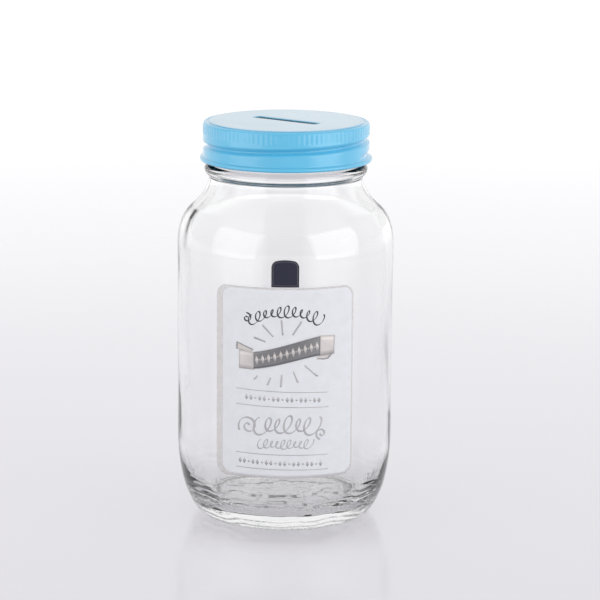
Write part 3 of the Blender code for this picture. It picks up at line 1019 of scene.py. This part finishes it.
def rounded_columns(left, right, bottom, top, corner, arch=0.0):
    """Give the columns of a sheet with rounded corners, and with an arched top if arch is set."""
    sweeps = [math.radians(degrees) for degrees in range(0, 90, 10)]
    edge = [(corner * (1.0 - math.cos(a)), corner * (1.0 - math.sin(a))) for a in sweeps]
    columns = [(left + x, drop) for x, drop in edge]
    steps = max(2, round((right - left - 2.0 * corner) / MM))
    span = right - left - 2.0 * corner
    columns += [(left + corner + span * step / steps, 0.0) for step in range(steps + 1)]
    columns += [(right - x, drop) for x, drop in reversed(edge)]
    middle = 0.5 * (left + right)
    sheet = []
    for x, drop in columns:
        sag = arch - math.sqrt(arch ** 2 - (x - middle) ** 2) if arch else 0.0
        sheet.append(((x, bottom + drop * (0.0 if arch else 1.0)), (x, top - drop - sag)))
    return sheet


def wavy_band(left, right, low, high, rise, steps=36):
    """Give the columns of a ribbon's band that climbs in a slow S from left to right."""
    columns = []
    for step in range(steps + 1):
        t = step / steps
        lift = rise * (0.6 * t + 0.4 * t * t * (3.0 - 2.0 * t))
        x = left + (right - left) * t
        columns.append(((x, low + lift), (x, high + lift + 0.0010 * t)))
    return columns


def swirl(left, right, height, rise, size, loops, lean=0.25, swell=0.25):
    """Give a line of linked pen loops that runs from left to right, on a base line or an arch."""
    points = []
    steps = 40 * loops
    reach = 0.62 * size
    for step in range(steps + 1):
        t = step / steps
        sweep = math.tau * loops * t
        grown = 1.0 + swell * math.sin(2.3 * math.tau * t + 0.6)
        up = 0.5 * size * grown * math.cos(sweep)
        x = left + (right - left) * t - reach * math.sin(sweep) * grown * 0.5
        arch = rise * 4.0 * t * (1.0 - t)
        points.append((x + lean * up, height + arch + up))
    return points


def curl_end(centre, size, start, turns, steps=48):
    """Give a spiral flourish that opens out from its centre."""
    points = []
    for step in range(steps + 1):
        t = step / steps
        sweep = start + math.tau * turns * t
        reach = size * (0.12 + 0.88 * t)
        points.append((centre[0] + reach * math.cos(sweep), centre[1] + reach * math.sin(sweep)))
    return points


# The ribbon's band: left and right end, lower and upper edge at the left, and its climb
BAND = (-0.0133, 0.0152, 0.0755, 0.0826, 0.0060)
PEN_ANGLE = 0.75
# Rays round the ribbon: direction in degrees, then nearest and farthest distance in millimetres
RAYS = ((162, 8.2, 13.6), (133, 6.7, 13.4), (95, 5.6, 12.2), (57, 6.8, 13.7), (-132, 16.8, 19.2),
        (-113, 14.4, 17.9), (-94, 11.9, 17.2), (-68, 11.1, 16.4), (-41, 11.9, 19.4))
RAY_CENTRE = (-0.0004, 0.0850)
# Rules: height in millimetres at the left and the right end
RULES = ((66.3, 64.9), (59.4, 58.4), (38.0, 37.3), (31.4, 30.7))
RULE_ENDS = (-0.0213, 0.0194)
# Ornament rows: left end, right end, height at each, in millimetres, and number of marks
ROWS = ((-16.5, 15.0, 62.8, 61.6, 17), (-19.4, 16.0, 34.4, 33.3, 19))


def bar_cloud(name, bars, thickness, lift):
    """Give the points of bars that run from one flat point to another, with a width."""
    points = []
    sizes = []
    turns = []
    for (x0, z0), (x1, z1), width in bars:
        points.append((0.5 * (x0 + x1), -lift, 0.5 * (z0 + z1)))
        sizes.append((math.hypot(x1 - x0, z1 - z0), thickness, width))
        turns.append(-math.atan2(z1 - z0, x1 - x0))
    return point_cloud(name, points, size=sizes, turned=turns)


def mark_cloud(name, marks, thickness, lift):
    """Give the points of ornaments, each with a place, half width, half height and turn."""
    points = [(x, -lift, z) for x, z, _, _, _ in marks]
    sizes = [(wide, tall, thickness) for _, _, wide, tall, _ in marks]
    return point_cloud(name, points, size=sizes, turned=[tilt for *_, tilt in marks])


def ray_bars():
    """Give the rays that fan out round the ribbon."""
    bars = []
    for degrees, near, far in RAYS:
        angle = math.radians(degrees)
        ends = [(RAY_CENTRE[0] + reach * MM * math.cos(angle),
                 RAY_CENTRE[1] + reach * MM * math.sin(angle)) for reach in (near, far)]
        bars.append((*ends, 0.00062))
    return bars


def row_marks(dots):
    """Give the lozenges of the ornament rows, or the dots between them."""
    marks = []
    for left, right, start, end, number in ROWS:
        for place in range(number):
            if (place % 3 == 2) == dots:
                share = place / (number - 1)
                x = MM * (left + (right - left) * share)
                z = MM * (start + (end - start) * share)
                wide, tall = (0.00042, 0.00042) if dots else (0.00074, 0.00115)
                marks.append((x, z, wide, tall, 0.0))
    return marks


def ribbon_marks(dots):
    """Give the tall lozenges along the ribbon's middle, or the dots between them."""
    columns = wavy_band(*BAND, 22)
    marks = []
    for place, ((x, low), (_, high)) in enumerate(columns[1:-1]):
        if (place % 2 == 1) == dots:
            wide, tall = (0.00032, 0.00032) if dots else (0.00080, 0.00225)
            marks.append((x, 0.5 * (low + high), wide, tall, -0.08))
    return marks


def pen(values, lift, relief, fine, broad, spacing=0.0005):
    """Give the inputs of a pen stroke: its lift, its thickness, and its least and most width."""
    return {**values, "Lift": lift, "Relief": relief, "Fine": fine, "Broad": broad,
            "Pen Angle": PEN_ANGLE, "Spacing": spacing}


def make_film(jar, label, finishes):
    """Make the label's clear film and the white print on it."""
    values = wrap_values(jar, label)
    half = 0.5 * label.width
    low = label.film_lift
    columns = rounded_columns(-half, half, label.bottom, label.top, label.corner)
    film = slab("label_film", columns, 84, low, low + label.layer)
    grow(film, wrap_tree, film_finish(finishes.film), values)
    edge = label.margin
    columns = rounded_columns(-half + label.left_margin, half - edge, label.bottom + edge,
                              label.top - edge, label.corner - edge)
    low += label.layer
    panel = slab("label_white_print", columns, 82, low, low + label.layer)
    grow(panel, wrap_tree, print_finish("label_white", finishes.white, 0.36), values)
    return film, panel


def art_lift(label, layer):
    """Give the lift of a printed layer above the glass."""
    return label.film_lift + (2.0 + layer) * label.layer


def make_ribbon(jar, label, finishes):
    """Make the foil ribbon: dark middle, pale ends and folded tails."""
    values = wrap_values(jar, label)
    silver = foil_finish("ribbon_pearl", finishes.pearl, 0.30, 0.35)
    dark = foil_finish("ribbon_band_foil", finishes.band, 0.30, 0.75)
    parts = (
        ("ribbon_tails", silver, 0.0, [
            [((-0.0212, 0.0836), (-0.0211, 0.0866)), ((-0.0136, 0.0822), (-0.0138, 0.0838))],
            [((0.0136, 0.0796), (0.0140, 0.0812)), ((0.0186, 0.0796), (0.0206, 0.0818))]]),
        ("ribbon_ends", silver, 1.0, [
            [((-0.0200, 0.0752), (-0.0200, 0.0832)), ((-0.0132, 0.0750), (-0.0132, 0.0828))],
            [((0.0150, 0.0810), (0.0150, 0.0900)), ((0.0218, 0.0816), (0.0220, 0.0898))]]),
    )
    pieces = []
    for name, finish, layer, shapes in parts:
        slabs = []
        for lower_left, lower_right in shapes:
            columns = [lower_left, *between_columns(lower_left, lower_right, 8), lower_right]
            lift = art_lift(label, layer)
            slabs.append(slab(name, columns, 4, lift, lift + label.layer))
        piece = joined_pieces(name, slabs)
        pieces.append(grow(piece, wrap_tree, finish, values))
    lift = art_lift(label, 2.0)
    columns = wavy_band(*BAND)
    band = slab("ribbon_band", columns, 8, lift, lift + label.layer)
    pieces.append(grow(band, wrap_tree, dark, values))
    return pieces


def between_columns(first, last, steps):
    """Give the columns between two columns."""
    lower = between(first[0], last[0], steps)
    upper = between(first[1], last[1], steps)
    return list(zip(lower, upper))


def joined_pieces(name, objects):
    """Join objects into one, and give the one."""
    form = bmesh.new()
    for found in objects:
        form.from_mesh(found.data)
        bpy.data.objects.remove(found, do_unlink=True)
    mesh = bpy.data.meshes.new(name)
    form.to_mesh(mesh)
    form.free()
    return as_object(name, mesh)


def make_lines(jar, label, finishes):
    """Make the rays and the rules of the print."""
    values = wrap_values(jar, label)
    silver = foil_finish("print_silver", finishes.silver, 0.30, 0.6)
    lift = art_lift(label, 0.5)
    rays = bar_cloud("label_rays", ray_bars(), label.layer, lift)
    grow(rays, bar_tree, silver, {**values, "Steps": 12, "Taper": -0.35})
    bars = []
    for left, right in RULES:
        bars.append(((RULE_ENDS[0], left * MM), (RULE_ENDS[1], right * MM), 0.00030))
    rules = bar_cloud("label_rules", bars, label.layer, lift)
    grow(rules, bar_tree, silver, {**values, "Steps": 60, "Taper": 0.2})
    return rays, rules


def make_marks(jar, label, finishes):
    """Make the lozenges and dots of the ornament rows and of the ribbon."""
    values = wrap_values(jar, label)
    silver = foil_finish("mark_silver", finishes.silver, 0.34, 0.45)
    pearl = foil_finish("mark_pearl", finishes.pearl, 0.32, 0.25)
    pieces = []
    for name, marks, sides, layer, finish in (
            ("label_lozenges", row_marks(False), 4, 0.5, silver),
            ("label_dots", row_marks(True), 14, 0.5, silver),
            ("ribbon_lozenges", ribbon_marks(False), 4, 3.5, pearl),
            ("ribbon_dots", ribbon_marks(True), 14, 3.5, pearl)):
        cloud = mark_cloud(name, marks, label.layer, art_lift(label, layer))
        pieces.append(grow(cloud, ornament_tree, finish, {**values, "Sides": sides}))
    return pieces


def make_scrolls(jar, label, finishes):
    """Make the pen scrolls: one on an arch at the top, a large and a small one lower down."""
    values = wrap_values(jar, label)
    ink = print_finish("print_ink", finishes.ink, 0.30, 0.2)
    silver = foil_finish("scroll_silver", finishes.silver, 0.34, 0.5)
    upper = swirl(-0.0150, 0.0160, 0.0965, 0.0042, 0.0042, 10)
    upper_tail = curl_end((-0.0166, 0.0975), 0.0022, 0.4, 1.2)
    large = swirl(-0.0118, 0.0142, 0.0502, 0.0008, 0.0066, 6, lean=0.30)
    large_head = curl_end((-0.0158, 0.0500), 0.0046, 0.5, 1.5)
    large_tail = curl_end((0.0162, 0.0468), 0.0026, 2.6, 1.3)
    small = swirl(-0.0108, 0.0118, 0.0424, 0.0, 0.0034, 9, lean=0.40)
    pieces = []
    for name, paths, finish, fine, broad in (
            ("scroll_upper", [upper, upper_tail], ink, 0.00010, 0.00036),
            ("scroll_large", [large, large_head, large_tail], silver, 0.00014, 0.00046),
            ("scroll_small", [small], silver, 0.00010, 0.00028)):
        line = stroke_line(name, paths)
        stroke = pen(values, art_lift(label, 0.6), 0.6 * label.layer, fine, broad, 0.00028)
        pieces.append(grow(line, stroke_tree, finish, stroke))
    return pieces


def make_outlines(jar, label, finishes):
    """Make the fine outlines along the ribbon's band, ends and tails."""
    values = wrap_values(jar, label)
    band = wavy_band(*BAND)
    paths = [[column[0] for column in band], [column[1] for column in band]]
    paths.append([(-0.0136, 0.0838), (-0.0174, 0.0852), (-0.0211, 0.0866), (-0.0212, 0.0836)])
    paths.append([(0.0146, 0.0800), (0.0166, 0.0796), (0.0190, 0.0798), (0.0206, 0.0816)])
    outlines = stroke_line("ribbon_outlines", paths)
    finish = foil_finish("outline_foil", shade(finishes.band, 1.15), 0.34, 0.4)
    stroke = pen(values, art_lift(label, 3.4), 0.5 * label.layer, 0.00012, 0.00018)
    return grow(outlines, stroke_tree, finish, stroke)


def make_crest(jar, label, finishes):
    """Make the navy crest sticker with its fine keyline."""
    values = wrap_values(jar, label)
    half = 0.5 * label.crest_width
    low = label.film_lift
    columns = rounded_columns(-half, half, CREST_LOW.z, CREST_HIGH.z, label.crest_corner,
                              label.crest_arch)
    film = slab("crest_film", columns, 12, low, low + 2.0 * label.layer)
    grow(film, wrap_tree, print_finish("crest_navy", finishes.navy, 0.30, 0.15), values)
    inset = 0.0007
    columns = rounded_columns(-half + inset, half - inset, CREST_LOW.z + inset,
                              CREST_HIGH.z - inset, label.crest_corner - inset,
                              label.crest_arch - inset)
    loop = [column[0] for column in columns] + [column[1] for column in reversed(columns)]
    line = stroke_line("crest_keyline", [loop + loop[:1]])
    finish = foil_finish("crest_line_foil", shade(finishes.silver, 0.35), 0.35, 0.5)
    stroke = pen(values, low + 2.4 * label.layer, 0.4 * label.layer, 0.00007, 0.00009)
    grow(line, stroke_tree, finish, stroke)
    return film, line


# ---- Studio ----------------------------------------------------------------------------------

def facing(azimuth, elevation):
    """Give the direction from the jar that an azimuth and elevation point in."""
    return Vector((math.sin(azimuth) * math.cos(elevation),
                   -math.cos(azimuth) * math.cos(elevation), math.sin(elevation)))


def aimed(direction, roll=0.0):
    """Give the rotation of an object that lies in a direction and looks back at the jar."""
    return direction.to_track_quat("Z", "Y").to_matrix() @ Matrix.Rotation(roll, 3, "Z")


def make_floor(studio):
    """Make the wide white floor."""
    rows = [(0.0, 0.0)] + [(0.02 * 1.35 ** step, 0.0) for step in range(22)]
    mesh = bpy.data.meshes.new("studio_floor")
    around = 96
    rings = turned_rings(rows, even_angles(around))
    points = [tuple(point) for ring in rings for point in ring]
    pairs = [(here, (here + 1) % around) for here in range(around)]
    faces = [(0, 1 + here, 1 + there) for here, there in pairs]
    for base in range(1, 1 + around * (len(rings) - 2), around):
        faces += [(base + here, base + around + here, base + around + there, base + there)
                  for here, there in pairs]
    mesh.from_pydata(points, [], faces)
    return as_object("studio_floor", mesh, studio_finish(studio.floor_glow))


def make_lights(studio, azimuth):
    """Make the two wide soft lights beside the camera."""
    for side in (-1.0, 1.0):
        lamp = bpy.data.lights.new("soft_light", "AREA")
        lamp.shape = "RECTANGLE"
        lamp.size = studio.light_width
        lamp.size_y = studio.light_height
        lamp.energy = studio.light_power * (1.0 + side * studio.light_bias)
        light = bpy.data.objects.new("soft_light", lamp)
        bpy.context.scene.collection.objects.link(light)
        direction = facing(azimuth + side * studio.light_side, math.radians(14.0))
        light.location = direction * studio.light_reach + Vector((0.0, 0.0, studio.aim))
        light.rotation_euler = aimed(direction).to_euler()


def make_sky(studio, azimuth):
    """Make the surroundings: white behind and above the jar, greyer on the camera's side."""
    world = bpy.data.worlds.new("studio_surroundings")
    world.use_nodes = True
    start = Wire(world.node_tree)
    look = start.node("ShaderNodeTexCoord", output="Generated")
    darkest = facing(azimuth - 0.35, 0.0)
    front = look.node("ShaderNodeVectorMath", {"operation": "DOT_PRODUCT"},
                      {0: look, 1: darkest}, output="Value")
    above = look.part("Z").ease(0.25, 0.85)
    dim = front.ease(-0.75, 0.65) * (1.0 - above) + 0.45 * above
    tint = dim.mix((studio.sky,) * 3, (studio.shade,) * 3)
    background = world.node_tree.nodes["Background"]
    feed(background, {"Color": tint, "Strength": 1.0})
    bpy.context.scene.world = world


def make_camera(studio, azimuth):
    """Make the camera."""
    lens = bpy.data.cameras.new("studio_camera")
    lens.lens = studio.lens
    lens.sensor_width = 36.0
    lens.shift_x = 0.025
    lens.shift_y = 0.032
    camera = bpy.data.objects.new("studio_camera", lens)
    bpy.context.scene.collection.objects.link(camera)
    direction = facing(azimuth, studio.elevation)
    camera.location = direction * studio.distance + Vector((0.0, 0.0, studio.aim))
    camera.rotation_euler = aimed(direction, studio.roll).to_euler()
    bpy.context.scene.camera = camera
    bpy.context.scene.view_settings.view_transform = "Standard"


# ---- Operators -------------------------------------------------------------------------------

def deliver(pieces, body, slot, *nodes):
    """Let pieces ride on a body, and hide the named CAD nodes. The slot is not used."""
    for piece in pieces:
        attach(piece, body)
    if nodes:
        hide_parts(*nodes)


def layer_settings(context):
    """Give the settings that every layer on the glass needs."""
    scene = context.scene
    return scene.jar_sizes, scene.label_sizes, scene.finishes


class COINJAR_OT_glass(bpy.types.Operator):
    """Make the glass jar"""
    bl_idname = "coinjar.glass"
    bl_label = "Glass jar"

    def execute(self, context):
        scene = context.scene
        piece = make_jar(scene.jar_sizes, scene.thread_sizes, scene.label_sizes, scene.finishes)
        deliver([piece], "jar", "clear_glass", "glass_jar")
        return {"FINISHED"}


class COINJAR_OT_ring(bpy.types.Operator):
    """Make the sealing ring"""
    bl_idname = "coinjar.ring"
    bl_label = "Sealing ring"

    def execute(self, context):
        piece = make_ring(context.scene.lid_sizes, context.scene.finishes)
        deliver([piece], "ring", "liner_rubber", "sealing_ring")
        return {"FINISHED"}


class COINJAR_OT_lid(bpy.types.Operator):
    """Make the screw lid with its coin slot"""
    bl_idname = "coinjar.lid"
    bl_label = "Screw lid"

    def execute(self, context):
        scene = context.scene
        piece = make_lid(scene.lid_sizes, scene.jar_sizes, scene.thread_sizes, scene.finishes)
        deliver([piece], "lid", "blue_enamel", "screw_lid")
        return {"FINISHED"}


class COINJAR_OT_label(bpy.types.Operator):
    """Make the label's film and white print"""
    bl_idname = "coinjar.label"
    bl_label = "Label"

    def execute(self, context):
        pieces = make_film(*layer_settings(context))
        deliver(pieces, "jar", "label_film", "front_label")
        return {"FINISHED"}


class COINJAR_OT_ribbon(bpy.types.Operator):
    """Make the printed ribbon"""
    bl_idname = "coinjar.ribbon"
    bl_label = "Ribbon"

    def execute(self, context):
        pieces = make_ribbon(*layer_settings(context))
        pieces.append(make_outlines(*layer_settings(context)))
        deliver(pieces, "jar", "label_film")
        return {"FINISHED"}


class COINJAR_OT_print(bpy.types.Operator):
    """Make the printed rays, rules and ornament rows"""
    bl_idname = "coinjar.print"
    bl_label = "Rays, rules and ornaments"

    def execute(self, context):
        settings = layer_settings(context)
        pieces = [*make_lines(*settings), *make_marks(*settings)]
        deliver(pieces, "jar", "label_film")
        return {"FINISHED"}


class COINJAR_OT_scrolls(bpy.types.Operator):
    """Make the printed pen scrolls"""
    bl_idname = "coinjar.scrolls"
    bl_label = "Pen scrolls"

    def execute(self, context):
        pieces = make_scrolls(*layer_settings(context))
        deliver(pieces, "jar", "label_film")
        return {"FINISHED"}


class COINJAR_OT_crest(bpy.types.Operator):
    """Make the navy crest sticker"""
    bl_idname = "coinjar.crest"
    bl_label = "Crest sticker"

    def execute(self, context):
        pieces = make_crest(*layer_settings(context))
        deliver(pieces, "jar", "navy_film", "crest_sticker")
        return {"FINISHED"}


class COINJAR_OT_studio(bpy.types.Operator):
    """Make the floor, lights, surroundings and camera"""
    bl_idname = "coinjar.studio"
    bl_label = "Studio"

    def execute(self, context):
        studio = context.scene.studio
        azimuth = context.scene.label_sizes.azimuth
        make_floor(studio)
        make_lights(studio, azimuth)
        make_sky(studio, azimuth)
        make_camera(studio, azimuth)
        return {"FINISHED"}


STEPS = (COINJAR_OT_studio, COINJAR_OT_glass, COINJAR_OT_ring, COINJAR_OT_lid, COINJAR_OT_label,
         COINJAR_OT_ribbon, COINJAR_OT_print, COINJAR_OT_scrolls, COINJAR_OT_crest)
GROUPS = {"jar_sizes": JarSizes, "thread_sizes": ThreadSizes, "lid_sizes": LidSizes,
          "label_sizes": LabelSizes, "finishes": Finishes, "studio": StudioSettings}


class COINJAR_PT_panel(bpy.types.Panel):
    """Lists the steps that make the coin bank jar"""
    bl_label = "Coin Bank Jar"
    bl_idname = "COINJAR_PT_panel"
    bl_space_type = "VIEW_3D"
    bl_region_type = "UI"
    bl_category = "Coin Jar"

    def draw(self, context):
        for step in STEPS:
            self.layout.operator(step.bl_idname)


def register():
    """Register the settings, the operators and the panel."""
    for group in GROUPS.values():
        bpy.utils.register_class(group)
    for name, group in GROUPS.items():
        setattr(bpy.types.Scene, name, PointerProperty(type=group))
    for step in (*STEPS, COINJAR_PT_panel):
        bpy.utils.register_class(step)


def unregister():
    """Remove the panel, the operators and the settings."""
    for step in (COINJAR_PT_panel, *reversed(STEPS)):
        bpy.utils.unregister_class(step)
    for name, group in GROUPS.items():
        delattr(bpy.types.Scene, name)
        bpy.utils.unregister_class(group)


def main():
    register()
    for step in STEPS:
        family, name = step.bl_idname.split(".")
        getattr(getattr(bpy.ops, family), name)()


if __name__ == "__main__":
    main()
